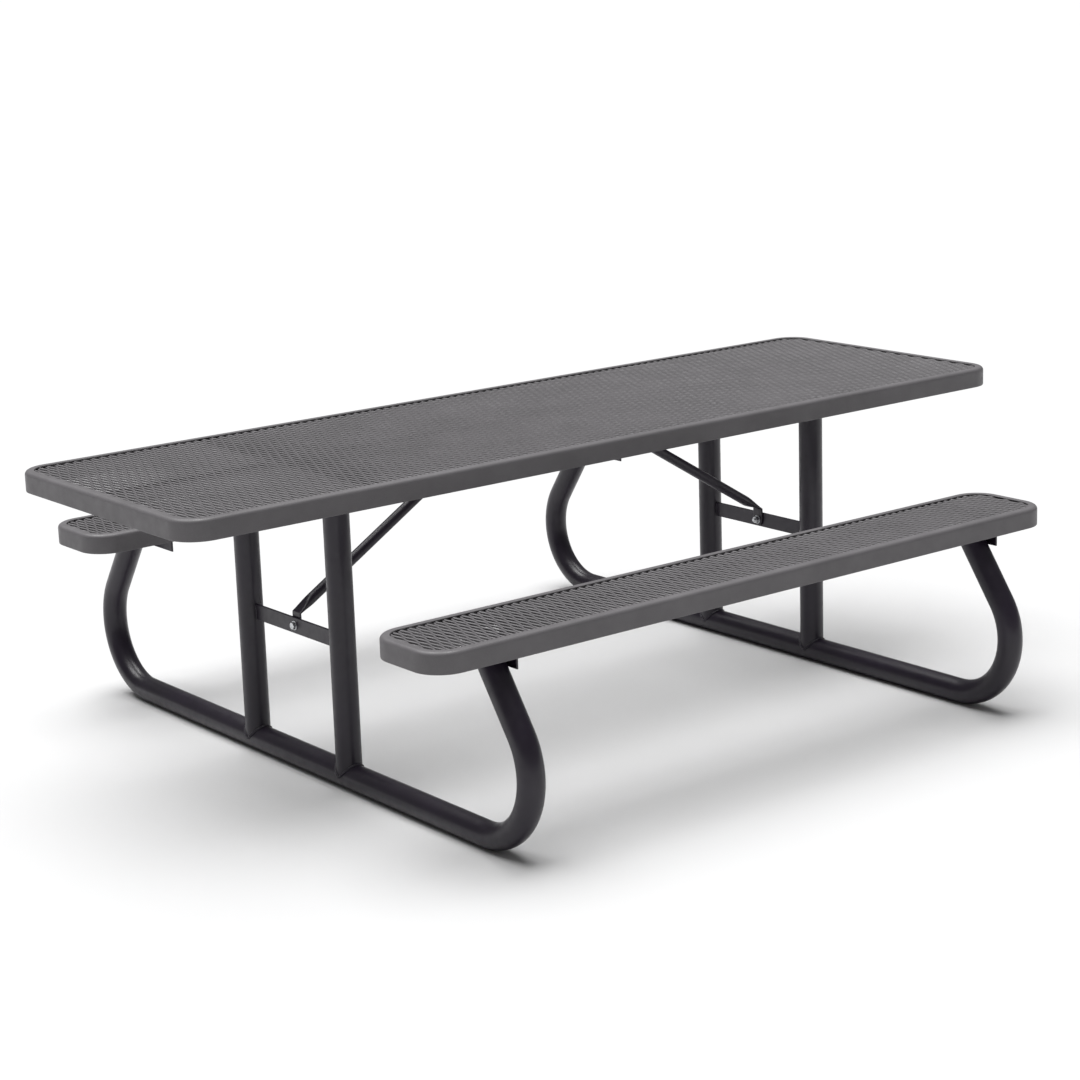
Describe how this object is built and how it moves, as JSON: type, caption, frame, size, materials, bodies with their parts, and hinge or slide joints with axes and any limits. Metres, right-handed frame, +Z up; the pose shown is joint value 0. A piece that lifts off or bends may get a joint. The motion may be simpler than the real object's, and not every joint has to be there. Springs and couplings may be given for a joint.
{
  "type": "picnic table",
  "caption": "Wheelchair-accessible outdoor picnic table: coated steel-mesh top and benches on bent-tube end frames, with overhanging ends.",
  "frame": {"origin": "on the ground, under the middle of the table top", "axes": "+X along the table, +Y across it, +Z up"},
  "size_m": [2.438, 1.8104, 0.7359],
  "materials": {
    "grey_coating": "matte thick thermoplastic coating",
    "charcoal_powder_coat": "semi-gloss powder coat",
    "zinc_steel": "zinc plated"
  },
  "bodies": {
    "root": {"back_bench_angle_left": "charcoal_powder_coat", "back_bench_angle_right": "charcoal_powder_coat", "back_bench_mesh": "grey_coating", "back_bench_rib_left": "grey_coating", "back_bench_rib_middle": "grey_coating", "back_bench_rib_right": "grey_coating", "back_bench_rim": "grey_coating", "back_bench_strap_left": "grey_coating", "back_bench_strap_right": "grey_coating", "bench_bolts": "zinc_steel", "bench_nuts": "zinc_steel", "bench_washers": "zinc_steel", "brace_bolts": "zinc_steel", "brace_left": "charcoal_powder_coat", "brace_nuts": "zinc_steel", "brace_right": "charcoal_powder_coat", "brace_washers": "zinc_steel", "cross_bar_left": "charcoal_powder_coat", "cross_bar_right": "charcoal_powder_coat", "front_bench_angle_left": "charcoal_powder_coat", "front_bench_angle_right": "charcoal_powder_coat", "front_bench_mesh": "grey_coating", "front_bench_rib_left": "grey_coating", "front_bench_rib_middle": "grey_coating", "front_bench_rib_right": "grey_coating", "front_bench_rim": "grey_coating", "front_bench_strap_left": "grey_coating", "front_bench_strap_right": "grey_coating", "post_left_back": "charcoal_powder_coat", "post_left_front": "charcoal_powder_coat", "post_right_back": "charcoal_powder_coat", "post_right_front": "charcoal_powder_coat", "runner_left": "charcoal_powder_coat", "runner_right": "charcoal_powder_coat", "top_angle_left": "charcoal_powder_coat", "top_angle_right": "charcoal_powder_coat", "top_bolts": "zinc_steel", "top_mesh": "grey_coating", "top_nuts": "zinc_steel", "top_rib_left": "grey_coating", "top_rib_middle": "grey_coating", "top_rib_right": "grey_coating", "top_rim": "grey_coating", "top_strap_left": "grey_coating", "top_strap_right": "grey_coating", "top_washers": "zinc_steel"}
  },
  "joints": []
}
